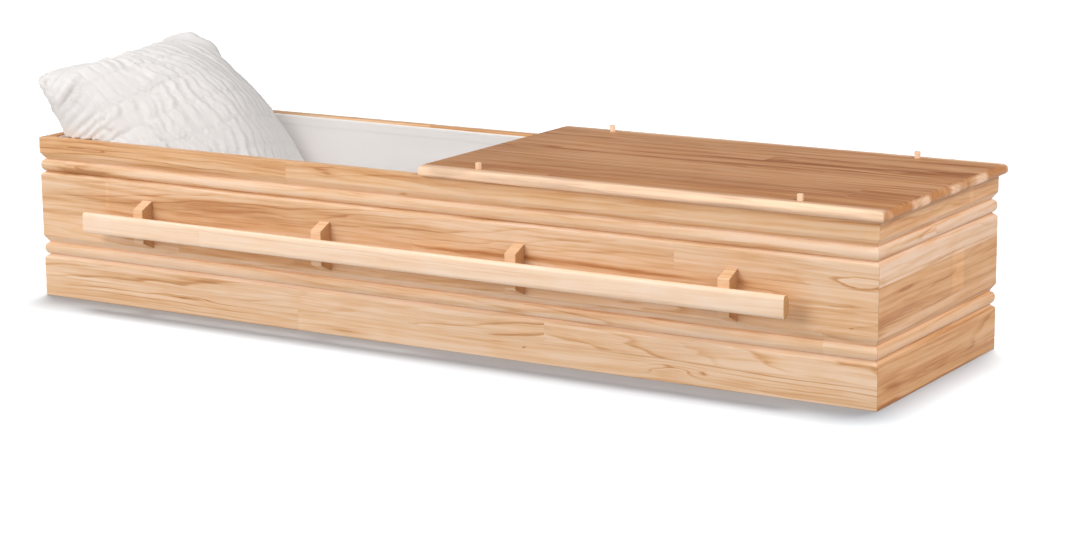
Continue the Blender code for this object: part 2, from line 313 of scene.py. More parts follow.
    # The glue lines, as fine dark joints
    glue = maths("LESS_THAN", maths("FRACT", column_at), GLUE_WIDTH / stave)
    for edge, *_ in rows[1:]:
        glue = maths("MAXIMUM", glue, maths("COMPARE", across, edge, GLUE_WIDTH / 2))
    tone = maths("SUBTRACT", tone, times(glue, 0.15))
    colour = vector("SCALE", colour, tone)

    # The end grain, where the surface faces along the grain, has a tone of its own, or blocks of two tones
    normal = add("NewGeometry").node.outputs["Normal"]
    facing = add("SeparateXYZ", add("Mapping", normal, (0.0, 0.0, 0.0), turn))
    end_grain = add("MapRange", maths("ABSOLUTE", facing), 0.35, 0.8, 0.0, 1.0)
    grainy = add("MapRange", total(fibre, times(growth, 0.6)), 0.3, 1.3, 1.1, 0.8)
    tip = tones[4]
    if end_blocks:
        patch = add("TexNoise", vector("MULTIPLY", board, (0.0, 5.0, 10.0)), 1.0, 2.0, 0.7)
        patch = add("MapRange", patch, 0.44, 0.6, 0.0, 0.75)
        tip = mixed(patch, (*tones[4], 1.0), (*end_blocks, 1.0))
    relief = total(times(fibre, 0.5), times(growth, 0.25), times(glue, -0.6), times(pin, -0.6))
    set_shader(shader, {
        "Base Color": mixed(end_grain, colour, vector("SCALE", tip, grainy)),
        "Roughness": total(swing(fibre, 0.16), swing(mottle, 0.06), roughness),
        "Normal": add("Bump", 0.35, 0.0004, 0.1, relief),
        "Specular IOR Level": gloss, "Coat Weight": coat, "Coat Roughness": 0.2,
    })
    return material


def arc(centre, radii, start, end, steps):
    """Points along an elliptical arc, from the start angle to the end angle in degrees, both ends included"""
    points = []
    for step in range(steps + 1):
        angle = math.radians(start + (end - start) * step / steps)
        points.append((centre[0] + radii[0] * math.cos(angle), centre[1] + radii[1] * math.sin(angle)))
    return points


def eased_corner(before, corner, after, ease=EDGE_EASE, steps=6):
    """A corner rounded between the points that lie the ease away from it, before and after"""
    corner = Vector(corner)
    start = corner + (Vector(before) - corner).normalized() * ease
    end = corner + (Vector(after) - corner).normalized() * ease
    shares = [step / steps for step in range(steps + 1)]
    return [tuple(start.lerp(corner, share).lerp(corner.lerp(end, share), share)) for share in shares]


def moulding(foot):
    """One run of moulding from its foot upwards, as points of depth behind the wall's face and height"""
    groove = foot + SHOULDER_HEIGHT
    upper_groove = groove + BEAD_HEIGHT
    head = upper_groove + SLOPE_HEIGHT
    shoulder = eased_corner((0.0, 0.0), (0.0, foot), (GROOVE_DEPTH, groove))
    middle = (GROOVE_DEPTH, groove + BEAD_HEIGHT / 2)
    bead = arc(middle, (BEAD_SETBACK - GROOVE_DEPTH, BEAD_HEIGHT / 2), -90, 90, 20)
    slope = eased_corner((GROOVE_DEPTH, upper_groove), (0.0, head), (0.0, BOX_HEIGHT))
    return shoulder + bead + slope


def wall_section():
    """The wall's section as a closed curve: its moulded face upwards, the rim, then its flat inner side"""
    points = eased_corner((WALL_THICKNESS, 0.0), (0.0, 0.0), (0.0, BOX_HEIGHT), 0.001, 3)
    points += moulding(MOULDING_FEET[0]) + moulding(MOULDING_FEET[1])
    points += eased_corner((0.0, 0.0), (0.0, BOX_HEIGHT), (WALL_THICKNESS, BOX_HEIGHT), RIM_ARRIS, 4)
    inner_top = (WALL_THICKNESS, BOX_HEIGHT)
    points += eased_corner((0.0, BOX_HEIGHT), inner_top, (WALL_THICKNESS, 0.0), RIM_ARRIS, 4)
    points.append((WALL_THICKNESS, 0.0))
    curve = bpy.data.curves.new("wall_section", "CURVE")
    spline = curve.splines.new("POLY")
    spline.points.add(len(points) - 1)
    for point, (depth, height) in zip(spline.points, reversed(points)):
        point.co = (depth, height, 0.0, 1.0)
    spline.use_cyclic_u = True
    return curve


# The section runs along a line, its ends are cut back by its own depth, and the wall goes to its place
walls, wall = new_tree("moulded_wall", [
    ("Length", "Float", BOX_LENGTH),
    ("Mitre Gap", "Float", FIT_GAP / math.sqrt(2)),
    ("Turn", "Vector", None),
    ("Place", "Vector", None),
    ("Wood", "Material", None),
])
ends = [triple(walls, 0.0, 0.0, reckon(walls, "MULTIPLY", wall["Length"], half)) for half in (-0.5, 0.5)]
line = put(walls, "GeometryNodeCurvePrimitiveLine", *ends)
swept = put(walls, "GeometryNodeCurveToMesh", line, wall["Shape"])
swept.node.inputs["Fill Caps"].default_value = True
section_at = put(walls, "ShaderNodeSeparateXYZ", put(walls, "GeometryNodeInputPosition")).node.outputs
cut = reckon(walls, "ADD", section_at[0], wall["Mitre Gap"])
side = reckon(walls, "SIGN", section_at[2])
mitred = reckon(walls, "SUBTRACT", section_at[2], reckon(walls, "MULTIPLY", cut, side))
upright = triple(walls, mitred, section_at[0], section_at[1])
stood = put(walls, "GeometryNodeSetPosition", swept, None, upright)
placed = put(walls, "GeometryNodeTransform", stood, wall["Place"],
             put(walls, "FunctionNodeEulerToRotation", wall["Turn"]))
end_tree(walls, placed, wall["Wood"])

LONG_ROWS = (
    (0.0, 0.58, 0.42, 0.7), (0.0455, 0.58, 0.32, 0.6), (0.087, 0.48, 0.34, 0.35), (0.137, 0.52, 0.5, 0.4),
    (0.19, 0.46, 0.5, 0.4), (0.2265, 0.46, 0.34, 0.35), (0.2775, 0.54, 0.26, 0.35),
    (0.314, 0.43, 0.68, 0.6),
)
# Marks on the long walls: grain, knots and tone, and also painted light and shade. The bands along the whole
# length at 94.5, 127.5, 278, 285 and 328 mm up paint light and shade into the moulding. So do the marks at
# 250 mm along (305 and 323 mm up) and 620 mm along (102 and 128 mm up). Together they lighten or darken the
# grooves, the beads, the shoulder and the slope. The marks at -450 and 660 mm along (145 and 153 mm up) are a
# painted shadow below the bar, darker on the left and paler on the right. The marks 213 to 218 mm up, at 180,
# 560 and 790 mm along, are painted shade on the wall just above the bar.
FRONT_MARKS_AND_PAINTED_LIGHT = (
    (-935, 291, 60, 9, 0.75, 10), (-865, 293, 45, 6, 0.5, 6), (-780, 288, 50, 4, 0.35),
    (-900, 341, 70, 3, 0.3, 8), (-235, 347, 30, 6, 0.35, 8), (-45, 319, 10, 3, 0.55, 6),
    (-625, 37, 60, 4, 0.6, 8), (-200, 12, 60, 6, 0.45, 8), (245, 30, 3, 2, 0.85, 4),
    (590, 27, 50, 12, 0.02, 14), (655, 27, 8, 3, 0.7), (585, 32, 10, 3, 0.5), (985, 240, 85, 20, -0.1, 12),
    (975, 153, 3, 1.5, 0.7), (-480, 250, 160, 14, 0.16, 3), (-130, 262, 150, 10, 0.1, 5),
    (-450, 235, 400, 40, 0.07), (450, 255, 400, 30, -0.06), (960, 250, 110, 45, -0.2),
    (180, 213.5, 200, 4.5, 0.5), (560, 213, 140, 4.5, 0.58), (790, 218, 80, 6, 0.34),
    (900, 195, 120, 4, 0.22, 3), (250, 305, 150, 8, -0.2), (250, 57, 140, 5, 0.2),
    (-450, 145, 250, 12, 0.36), (660, 153, 140, 10, -0.2), (-420, 73, 200, 6, 0.12),
    (620, 237, 120, 12, 0.14), (0, 94.5, 3000, 6.5, -0.3), (0, 127.5, 3000, 5, -0.14),
    (0, 278, 3000, 4, -0.14), (0, 285, 3000, 5, 0.2), (0, 328, 3000, 8, -0.2), (0, 357, 3000, 7, 0.1),
    (0, 234, 3000, 8, 0.12), (250, 323, 600, 3.5, -0.2), (620, 128, 150, 5, -0.18),
    (620, 102, 150, 5, -0.18),
)
HONEY_TONES = ((0.89, 0.64, 0.45), (0.81, 0.515, 0.292), (0.685, 0.365, 0.165), (0.463, 0.19, 0.064),
               (0.5, 0.255, 0.104))
long_wood = wood_finish("honey_wood_long_walls", HONEY_TONES, rows=LONG_ROWS, span=(0.0, BOX_HEIGHT),
                        marks=FRONT_MARKS_AND_PAINTED_LIGHT, contrast=1.3, blocks=((-0.837, 0.2475, 0.0045, 0.028, 0.06),))
END_ROWS = (
    (0.0, 0.2, 0.95, 0.6), (0.087, 0.28, 0.65, 0.5), (0.16, 0.18, 0.9, 0.3), (0.235, 0.54, 0.1, 0.45),
    (0.285, 0.48, 0.15, 0.45), (0.325, 0.27, 0.85, 0.6),
)
# Marks on the end walls: grain, dark lines and tone, and also painted light. The two bands across the whole
# width at 98.5 and 121 mm up lighten the grooves about the lower bead, painting out their shade.
END_MARKS_AND_PAINTED_LIGHT = (
    (-225, 33, 50, 20, 0.26), (40, 89, 130, 3, 0.4), (-120, 262, 120, 3, 0.3), (20, 242.5, 220, 2.2, 0.4),
    (0, 158.5, 250, 2.2, 0.35), (-150, 215, 60, 6, 0.18, 6), (120, 128, 120, 4, 0.15, 4),
    (-170, 138, 100, 8, -0.3), (-170, 336, 90, 6, 0.3), (0, 121, 3000, 9, -0.26),
    (0, 98.5, 3000, 5.5, -0.22),
)
END_TONES = [(red, 0.94 * green, 0.9 * blue) for red, green, blue in HONEY_TONES]
end_wood = wood_finish("honey_wood_end_walls", END_TONES, turn=(0.0, 0.0, -math.pi / 2), rows=END_ROWS,
                       span=(0.0, BOX_HEIGHT), seed=3.0, marks=END_MARKS_AND_PAINTED_LIGHT, contrast=1.7,
                       blocks=((0.087, 0.2005, 0.028, 0.04, 0.1), (0.145, 0.343, 0.01, 0.017, 0.08)))

peg_drill = bmesh.new()
for place in PEG_PLACES:
    for facing in (-1, 1):
        middle = BOX_HEIGHT - PEG_SEAT + DRILL_LENGTH / 2
        at = Matrix.Translation((place, facing * (BOX_WIDTH / 2 - PEG_INSET), middle))
        bmesh.ops.create_cone(peg_drill, cap_ends=True, segments=48, radius1=PEG_RADIUS + FIT_GAP,
                              radius2=PEG_RADIUS + FIT_GAP, depth=DRILL_LENGTH, matrix=at)
drill = shown_object("peg_drill", mesh_of("peg_drill", peg_drill))


def drilled(piece):
    """The piece with the peg holes cut in it"""
    name = piece.name
    piece.name = name + "_undrilled"
    cut = piece.modifiers.new("peg_holes", "BOOLEAN")
    cut.operation = "DIFFERENCE"
    cut.solver = "EXACT"
    cut.object = drill
    return made_plain(name, piece)


for name, length, place, turn, wood in (
    ("front_wall", BOX_LENGTH, (0.0, -BOX_WIDTH / 2, 0.0), 0.0, long_wood),
    ("back_wall", BOX_LENGTH, (0.0, BOX_WIDTH / 2, 0.0), math.pi, long_wood),
    ("head_wall", BOX_WIDTH, (-BOX_LENGTH / 2, 0.0, 0.0), -math.pi / 2, end_wood),
    ("foot_wall", BOX_WIDTH, (BOX_LENGTH / 2, 0.0, 0.0), math.pi / 2, end_wood),
):
    board = grown("moulded_" + name, wall_section(), walls,
                  {"Length": length, "Place": place, "Turn": (0.0, 0.0, turn), "Wood": wood})
    if length == BOX_LENGTH:
        board = drilled(board)
    shade_round(board)
    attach(board, "root")
    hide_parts(name)

# The bottom: one flat board of the same wood let in between the walls. It stays as the solid has it and takes
# the wood's finish, with staves that run the length of the box.
bottom_rows = [(edge, 0.42 + 0.05 * (number % 3), 0.5, 0.5) for number, edge in
               enumerate((-0.26, -0.17, -0.09, 0.0, 0.085, 0.175))]
bottom_wood = wood_finish("honey_wood_bottom", HONEY_TONES, turn=(math.pi / 2, 0.0, 0.0),
                          rows=bottom_rows, span=(-0.26, 0.26), seed=8.0, roughness=0.55)
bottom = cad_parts["bottom_board"]
for finish_slot in bottom.material_slots:
    finish_slot.material = bottom_wood

# The foot half of the lid: staves glued edge to edge, rounded along the three sides that stand over the walls
# and square at the head edge. Its top is browner than the walls. Its long edges are pale: partly paler wood
# and partly a painted highlight where the rounded edges catch the light.
LID_THICKNESS = 0.022
LID_OVERHANG = 0.015
LID_HEAD_EDGE = 0.008
LID_TOP_ROUND = 0.0128
LID_BOTTOM_ROUND = 0.0085
LID_CORNER_ROUND = 0.004
LID_ARRIS = 0.0008
LID_ROWS = (
    (-0.3, 0.55, 0.5, 0.35), (-0.289, 0.38, 0.7, 0.55), (-0.212, 0.42, 0.6, 0.5), (-0.105, 0.56, 0.5, 0.4),
    (0.0, 0.5, 0.55, 0.7), (0.085, 0.52, 0.55, 0.95), (0.16, 0.54, 0.5, 0.8), (0.228, 0.52, 0.55, 0.5),
    (0.289, 0.55, 0.5, 0.35),
)
LID_MARKS = (
    (360, 70, 130, 7.5, 0.5), (560, 88, 140, 8, 0.72), (740, 98, 120, 8, 0.62), (420, 26, 120, 6, 0.46),
    (620, 36, 130, 6, 0.4), (800, 58, 120, 6, 0.52), (950, 82, 100, 6, 0.46), (680, 160, 100, 6, 0.62),
    (900, 152, 110, 6, 0.64), (950, 230, 130, 12, 0.44), (220, -225, 250, 35, 0.18),
    (965, -170, 55, 35, 0.2), (120, 5, 140, 20, 0.1), (320, -20, 200, 130, -0.16),
    (780, -185, 250, 45, 0.14), (750, 165, 160, 12, 0.15), (70, -297, 35, 4, 0.4), (300, -295, 60, 3, 0.25),
    (730, -297, 45, 4, 0.45),
)
LID_TONES = ((0.62, 0.336, 0.172), (0.51, 0.245, 0.104), (0.4, 0.156, 0.052), (0.27, 0.084, 0.021),
             (0.54, 0.23, 0.08))
# The pale tone of the end-grain blocks and of the long edges. On the long edges it is partly a painted
# highlight
PALE_EDGE = (0.96, 0.65, 0.44)
lid_wood = wood_finish("honey_wood_lid", LID_TONES, turn=(math.pi / 2, 0.0, 0.0), rows=LID_ROWS,
                       span=(-0.3, 0.3), seed=5.0, marks=LID_MARKS, contrast=1.65, end_blocks=PALE_EDGE,
                       pale_edge_and_highlight=(0.266, PALE_EDGE), roughness=0.45, gloss=0.15)
foot_edge = BOX_LENGTH / 2 + LID_OVERHANG
lid_shape = bmesh.new()


def lid_loop(inset, height):
    """A loop round the lid at this height, this far inside its three rounded sides"""
    x, y = foot_edge - inset, BOX_WIDTH / 2 + LID_OVERHANG - inset
    turn = max(LID_CORNER_ROUND - inset, LID_ARRIS)
    flat = [(LID_HEAD_EDGE, -y)] + arc((x - turn, turn - y), (turn, turn), -90, 0, 6)
    flat += arc((x - turn, y - turn), (turn, turn), 0, 90, 6) + [(LID_HEAD_EDGE, y)]
    return [lid_shape.verts.new((*point, height)) for point in flat]


underside, topside = BOX_HEIGHT + FIT_GAP, BOX_HEIGHT + FIT_GAP + LID_THICKNESS
lower_round, upper_round = (-LID_BOTTOM_ROUND, LID_BOTTOM_ROUND), (-LID_TOP_ROUND, LID_TOP_ROUND)
nosing = arc((LID_BOTTOM_ROUND, underside + LID_BOTTOM_ROUND), lower_round, -90, 0, 10)
nosing += arc((LID_TOP_ROUND, topside - LID_TOP_ROUND), upper_round, 0, 90, 14)
loops = [lid_loop(inset, height) for inset, height in nosing]
join_loops(lid_shape, loops)
lid_shape.faces.new(reversed(loops[0]))
lid_shape.faces.new(loops[-1])
lid = shown_object("glued_lid", mesh_of("glued_lid", lid_shape, lid_wood))
arris = lid.modifiers.new("arris", "BEVEL")
arris.width = LID_ARRIS
arris.segments = 2
arris.angle_limit = math.radians(60.0)
lid = drilled(lid)
shade_round(lid)
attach(lid, "root")
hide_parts("foot_lid")
bpy.data.objects.remove(drill)

# The four lid pegs: short turned dowels of pale wood with eased ends. Each stands through a hole in the lid,
# in a blind hole in the top of a long wall.
PEG_PROUD = 0.0135
PEG_SIDES = 40
PEG_FOOT_EASE = 0.001
PEG_HEAD_ROUND = (0.0016, 0.0011)
PEG_HEAD_DROP = 0.0013
PALE_TONES = ((0.98, 0.765, 0.57), (0.95, 0.68, 0.47), (0.86, 0.56, 0.345), (0.66, 0.38, 0.197),
              (0.5, 0.275, 0.12))
PEG_TONES = PALE_TONES[:4] + ((0.78, 0.54, 0.34),)
peg_wood = wood_finish("pale_wood_pegs", PEG_TONES, turn=(0.0, math.pi / 2, 0.0), ring=0.003, seed=11.0)
pegs, peg = new_tree("lid_pegs", [
    ("Near Middle", "Float", PEG_PLACES[0]),
    ("Near Foot", "Float", PEG_PLACES[1]),
    ("Off Middle", "Float", BOX_WIDTH / 2 - PEG_INSET),
    ("Wood", "Material", None),
])
pair_step = reckon(pegs, "SUBTRACT", peg["Near Foot"], peg["Near Middle"])
front_side = reckon(pegs, "MULTIPLY", peg["Off Middle"], -1.0)
rows_of_two = []
for side in (front_side, peg["Off Middle"]):
    rows_of_two.append(put(pegs, "GeometryNodeMeshLine", 2, triple(pegs, peg["Near Middle"], side, 0.0),
                           triple(pegs, pair_step, 0.0, 0.0)))
places = put(pegs, "GeometryNodeJoinGeometry", rows_of_two[0])
pegs.links.new(rows_of_two[1], places.node.inputs[0])
stood_pegs = put(pegs, "GeometryNodeInstanceOnPoints", places, None, peg["Shape"])
end_tree(pegs, stood_pegs, peg["Wood"])
peg_foot = BOX_HEIGHT - PEG_SEAT + FIT_GAP
peg_head = topside + PEG_PROUD
foot_round = (PEG_FOOT_EASE, PEG_FOOT_EASE)
profile = [(0.0, peg_foot)]
profile += arc((PEG_RADIUS - PEG_FOOT_EASE, peg_foot + PEG_FOOT_EASE), foot_round, -90, 0, 3)
profile += arc((PEG_RADIUS - PEG_HEAD_ROUND[0], peg_head - PEG_HEAD_DROP), PEG_HEAD_ROUND, 0, 75, 5)
profile.append((0.0, peg_head))
turned = bmesh.new()
round_about = [math.tau * step / PEG_SIDES for step in range(PEG_SIDES)]
loops = []
for radius, height in profile[1:-1]:
    circle = [(radius * math.cos(angle), radius * math.sin(angle), height) for angle in round_about]
    loops.append([turned.verts.new(point) for point in circle])
join_loops(turned, loops)
foot_end, head_end = (turned.verts.new((0.0, 0.0, height)) for height in (peg_foot, peg_head))
for step in range(PEG_SIDES):
    following = (step + 1) % PEG_SIDES
    turned.faces.new((foot_end, loops[0][following], loops[0][step]))
    turned.faces.new((loops[-1][step], loops[-1][following], head_end))
peg_set = grown("turned_lid_pegs", mesh_of("turned_peg", turned), pegs, {"Wood": peg_wood})
shade_round(peg_set, 50.0)
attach(peg_set, "root")
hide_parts("lid_peg_front_near_middle", "lid_peg_front_near_foot",
            "lid_peg_back_near_middle", "lid_peg_back_near_foot")

# The brackets: eight blocks of honey-coloured wood, four on each long wall, whose tops and bottoms slope in
# from the wall to the bar that they hold. Their arrises are taken off.
BRACKET_WIDTH = 0.027
BRACKET_REACH = 0.035
BRACKET_WALL_HEIGHT = 0.105
BRACKET_NOSE_HEIGHT = 0.074
BRACKET_SPACING = 0.4815
BRACKET_ARRIS = 0.0016
BAR_CENTRE_HEIGHT = 0.1915
BRACKET_TONES = HONEY_TONES[:4] + ((0.47, 0.24, 0.105),)
bracket_wood = wood_finish("honey_wood_brackets", BRACKET_TONES, ring=0.007, stave=BRACKET_SPACING, seed=14.0,
                           rows=((0.0, 0.5, 0.45, 0.25),), contrast=0.9)
brackets, bracket = new_tree("bar_brackets", [
    ("Count", "Int", 4),
    ("Spacing", "Float", BRACKET_SPACING),
    ("Wall Face", "Float", 0.0),
    ("Height", "Float", BAR_CENTRE_HEIGHT),
    ("Turn", "Vector", None),
    ("Wood", "Material", None),
])
run = reckon(brackets, "MULTIPLY", reckon(brackets, "SUBTRACT", bracket["Count"], 1.0), bracket["Spacing"])
first = reckon(brackets, "MULTIPLY", run, -0.5)
row_of_brackets = put(brackets, "GeometryNodeMeshLine", bracket["Count"],
                      triple(brackets, first, bracket["Wall Face"], bracket["Height"]),
                      triple(brackets, bracket["Spacing"], 0.0, 0.0))
fixed = put(brackets, "GeometryNodeInstanceOnPoints", row_of_brackets, None, bracket["Shape"], None, None,
            put(brackets, "FunctionNodeEulerToRotation", bracket["Turn"]))
end_tree(brackets, fixed, bracket["Wood"])


def bracket_mesh():
    """One bracket with its back on the wall's face and its nose towards -Y"""
    block = bmesh.new()
    outline = ((-FIT_GAP, -BRACKET_WALL_HEIGHT / 2), (-BRACKET_REACH, -BRACKET_NOSE_HEIGHT / 2),
               (-BRACKET_REACH, BRACKET_NOSE_HEIGHT / 2), (-FIT_GAP, BRACKET_WALL_HEIGHT / 2))
    sides = [[block.verts.new((side * BRACKET_WIDTH / 2, y, z)) for y, z in outline] for side in (-1, 1)]
    for side in sides:
        block.faces.new(side)
    join_loops(block, sides)
    bmesh.ops.recalc_face_normals(block, faces=block.faces)
    bmesh.ops.bevel(block, geom=list(block.edges), offset=BRACKET_ARRIS, segments=3, profile=0.5,
                    affect="EDGES")
    return mesh_of("bracket", block)


for side, facing in (("front", -1), ("back", 1)):
    turn = (0.0, 0.0, 0.0 if facing < 0 else math.pi)
    bracket_set = grown(f"{side}_bar_brackets", bracket_mesh(), brackets,
                        {"Wall Face": facing * BOX_WIDTH / 2, "Turn": turn, "Wood": bracket_wood})
    shade_round(bracket_set, 30.0)
    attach(bracket_set, "root")
    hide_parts(*(f"{side}_bar_bracket_{number}" for number in range(1, 5)))

# The two carrying bars: long rails of pale straight-grained wood, nearly flat on the face and rounded behind
# for the hand, with a flat where they sit on the brackets. Their ends are sawn square and lightly eased.
BAR_LENGTH = 1.724
BAR_HEIGHT = 0.0455
BAR_DEPTH = 0.022
BAR_END_EASE = 0.001
BAR_FACE_ROUND = (0.0055, 0.01)
BAR_BACK_ROUND = (0.013, 0.015)
bar_wood = wood_finish("pale_wood_bars", PALE_TONES, ring=0.007, stave=5.2, seed=17.0,
                       rows=((0.0, 0.5, 0.4, 0.25),), contrast=1.0, roughness=0.38, gloss=0.35, coat=0.1)
bar_back = BRACKET_REACH + FIT_GAP
bar_face = bar_back + BAR_DEPTH
face_x, face_z = bar_face - BAR_FACE_ROUND[0], BAR_HEIGHT / 2 - BAR_FACE_ROUND[1]
back_x, back_z = bar_back + BAR_BACK_ROUND[0], BAR_HEIGHT / 2 - BAR_BACK_ROUND[1]
bar_outline = arc((face_x, -face_z), BAR_FACE_ROUND, -90, 0, 10)
bar_outline += arc((face_x, face_z), BAR_FACE_ROUND, 0, 90, 10)
bar_outline += arc((back_x, back_z), BAR_BACK_ROUND, 90, 180, 10)
bar_outline += arc((back_x, -back_z), BAR_BACK_ROUND, 180, 270, 10)
bar_middle = Vector(((bar_back + bar_face) / 2, 0.0))
bar_stations = [(-BAR_LENGTH / 2, BAR_END_EASE), (-BAR_LENGTH / 2 + 0.3 * BAR_END_EASE, 0.3 * BAR_END_EASE),
                (-BAR_LENGTH / 2 + BAR_END_EASE, 0.0)]
bar_stations += [(-at, inset) for at, inset in reversed(bar_stations)]
for side, facing in (("front", -1), ("back", 1)):
    rail = bmesh.new()
    loops = []
    for at, inset in bar_stations:
        loop = []
        for point in bar_outline:
            spread = Vector(point) - bar_middle
            spread *= 1.0 - inset / spread.length
            reach = bar_middle.x + spread.x + BOX_WIDTH / 2
            loop.append(rail.verts.new((at, facing * reach, BAR_CENTRE_HEIGHT + spread.y)))
        loops.append(loop)
    join_loops(rail, loops)
    rail.faces.new(loops[0])
    rail.faces.new(loops[-1])
    bmesh.ops.recalc_face_normals(rail, faces=rail.faces)
    bar = shown_object(f"{side}_rail", mesh_of(f"{side}_rail", rail, bar_wood))
    shade_round(bar, 40.0)
    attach(bar, "root")
    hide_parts(f"{side}_carrying_bar")

# The lining: one white cloth, cut as a cross and stretched over the bottom and up the four walls, where it is
# folded over at the top in a sewn hem. The hem drops a little from the head to the lid.
LINING_HALF = Vector((1.004, 0.259))
LINING_FLOOR = 0.024
LINING_RIM = 0.361
LINING_SAG = 0.0038
LINING_THICKNESS = 0.0028
LINING_CORNER = 0.012
LINING_FOOT_ROUND = 0.011
LINING_STEPS = (150, 40)
LINING_FLOOR_LOOPS = 12
CLOTH_INSET = 0.005
HEM_DEPTH = 0.0262
HEM_FOLD = 0.0026


def hill(value, top, spread):
    """1 at the top, falling away softly on both sides of it"""
    return math.exp(-(((value - top) / spread) ** 2))


def ripple(*place):
    """Smooth chance from -1 to 1, the same each time at the same place"""
    return noise.noise(Vector(place))


def cloth_finish(name, light, shade, weave, roughness, sheen, crease, gathered=False):
    """Plain woven white cloth: a fine weave, soft creases and a faint unevenness of tone. A gathered cloth
    also has small tight puckers where its attribute says that a thread runs, darkened there with painted
    shade"""
    material, add, shader = new_finish(name)
    here = add("TexCoord").node.outputs["Object"]
    cloudy = add("TexNoise", here, 7.0, 3.0, 0.55)
    threads = [add("TexWave", here, weave, 0.6, 2.0, 40.0, 0.5, bands_direction=way) for way in "XYZ"]
    cloth = add("Math", add("Math", threads[0], threads[1], operation="ADD"), threads[2], operation="ADD")
    puckers = add("TexNoise", here, 60.0, 4.0, 0.6)
    colour = add("Mix", cloudy, (*shade, 1.0), (*light, 1.0), data_type="RGBA")
    soft = add("Bump", crease, 0.0012, 0.1, puckers)
    if gathered:
        thread = add("Attribute", attribute_name="threads").node.outputs["Fac"]
        dots = add("MapRange", add("TexNoise", here, 170.0, 2.0, 0.6), 0.38, 0.62, 0.0, 1.0)
        dots = add("Math", dots, thread, operation="MULTIPLY")
        # The dots along a thread are darkened: painted shade in the puckers
        pucker_shade = add("Math", dots, 0.16, operation="MULTIPLY")
        colour = add("Mix", pucker_shade, colour, (*(tint * 0.8 for tint in shade), 1.0), data_type="RGBA")
        soft = add("Bump", 0.45, 0.0015, 0.1, dots, soft)
    set_shader(shader, {
        "Base Color": colour,
        "Roughness": add("MapRange", puckers, 0.0, 1.0, roughness - 0.08, roughness + 0.08),
        "Normal": add("Bump", 0.18, 0.0002, 0.1, cloth, soft),
        "Sheen Weight": sheen, "Sheen Roughness": 0.4, "Specular IOR Level": 0.25,
    })
    return material


def tray_loop(inset):
    """Points round the tray at this distance inside its outer face, anticlockwise from above"""
    half = LINING_HALF - Vector((inset, inset))
    turn = max(LINING_CORNER - inset, 0.001)
    corners = ((1, 1), (-1, 1), (-1, -1), (1, -1))
    points = []
    for number, (sign_x, sign_y) in enumerate(corners):
        centre = (sign_x * (half.x - turn), sign_y * (half.y - turn))
        points += arc(centre, (turn, turn), 90 * number, 90 * number + 90, 4)
        next_x, next_y = corners[(number + 1) % 4]
        along_end = number % 2
        start = Vector(points[-1])
        to = Vector((next_x * (half.x - turn * (1 - along_end)), next_y * (half.y - turn * along_end)))
        steps = LINING_STEPS[along_end]
        points += [tuple(start.lerp(to, step / steps)) for step in range(1, steps)]
    return points


# The section from the hidden edge of the hem, over the top and down, then the wall and the round at its foot.
# Each point has its distance in from the outer face and a height: off the rim, down the wall or off the floor
hem = [(0.0008, drop) for drop in (-0.03, -0.02, -0.01, -0.004)]
hem += arc((0.0008 + HEM_FOLD, -HEM_FOLD), (-HEM_FOLD, HEM_FOLD), 15, 165, 10)
hem += [(0.0056, -0.006), (0.0055, -0.012), (0.0054, -0.019), (0.0053, -0.0225), (0.005, -0.024),
        (0.0049, -HEM_DEPTH)]
foot_arc = arc((CLOTH_INSET + LINING_FOOT_ROUND, LINING_FOOT_ROUND), (-LINING_FOOT_ROUND, -LINING_FOOT_ROUND),
               15, 90, 5)
section = [(inset, drop, "rim") for inset, drop in hem]
section += [(CLOTH_INSET, step / 24, "wall") for step in range(1, 25)]
section += [(inset, rise, "foot") for inset, rise in foot_arc]


def lining_point(flat, measure, part):
    """A point of the lining, with its soft unevenness off the wall"""
    x, y = flat
    rim = LINING_RIM - LINING_SAG * min(max(x + 1.0, 0.0), 1.0)
    rim += 0.0007 * ripple(x * 9.0, y * 9.0, 3.0)
    top, foot = rim - HEM_DEPTH, LINING_FLOOR + LINING_FOOT_ROUND
    if part == "rim":
        return Vector((x, y, rim + measure))
    if part == "wall":
        height = top + (foot - top) * measure
        fade = min(measure * 8.0, (1.0 - measure) * 6.0, 1.0)
        round_at = x + 1.7 * y
        swell = 0.0011 * ripple(round_at * 3.0, height * 5.0, 1.0)
        swell += 0.0007 * ripple(round_at * 13.0, height * 4.0, 5.0)
        if y > 0:
            swell -= 0.0016 * hill(height, 0.3085 - 0.012 * (x + 0.4), 0.004) * hill(x, -0.33, 0.1)
        on_end = abs(abs(x) - LINING_HALF.x) < abs(abs(y) - LINING_HALF.y)
        inward = Vector((-x, 0.0)) if on_end else Vector((0.0, -y))
        step_in = inward.normalized() * (swell * fade)
        return Vector((x + step_in.x, y + step_in.y, height))
    return Vector((x, y, LINING_FLOOR + measure))


tray = bmesh.new()
loops = []
for inset, measure, part in section:
    loops.append([tray.verts.new(lining_point(flat, measure, part)) for flat in tray_loop(inset)])
last_inset = section[-1][0]
for step in range(1, LINING_FLOOR_LOOPS + 1):
    inset = last_inset + (LINING_HALF.y - last_inset) * step / LINING_FLOOR_LOOPS
    closing = step == LINING_FLOOR_LOOPS
    loop = []
    for x, y in tray_loop(min(inset, LINING_HALF.y - 0.0012)):
        lift = 0.0 if closing else 0.0008 * ripple(x * 6.0, y * 6.0, 9.0)
        loop.append(tray.verts.new((x, 0.0 if closing else y, LINING_FLOOR + lift)))
    loops.append(loop)
join_loops(tray, loops)
bmesh.ops.remove_doubles(tray, verts=tray.verts, dist=0.00008)
lining_cloth = cloth_finish("white_lining_cloth", light=(0.915, 0.885, 0.865), shade=(0.865, 0.831, 0.811),
                            weave=900.0, roughness=0.78, sheen=0.15, crease=0.2)
lining_mesh = mesh_of("cloth_lining", tray, lining_cloth)
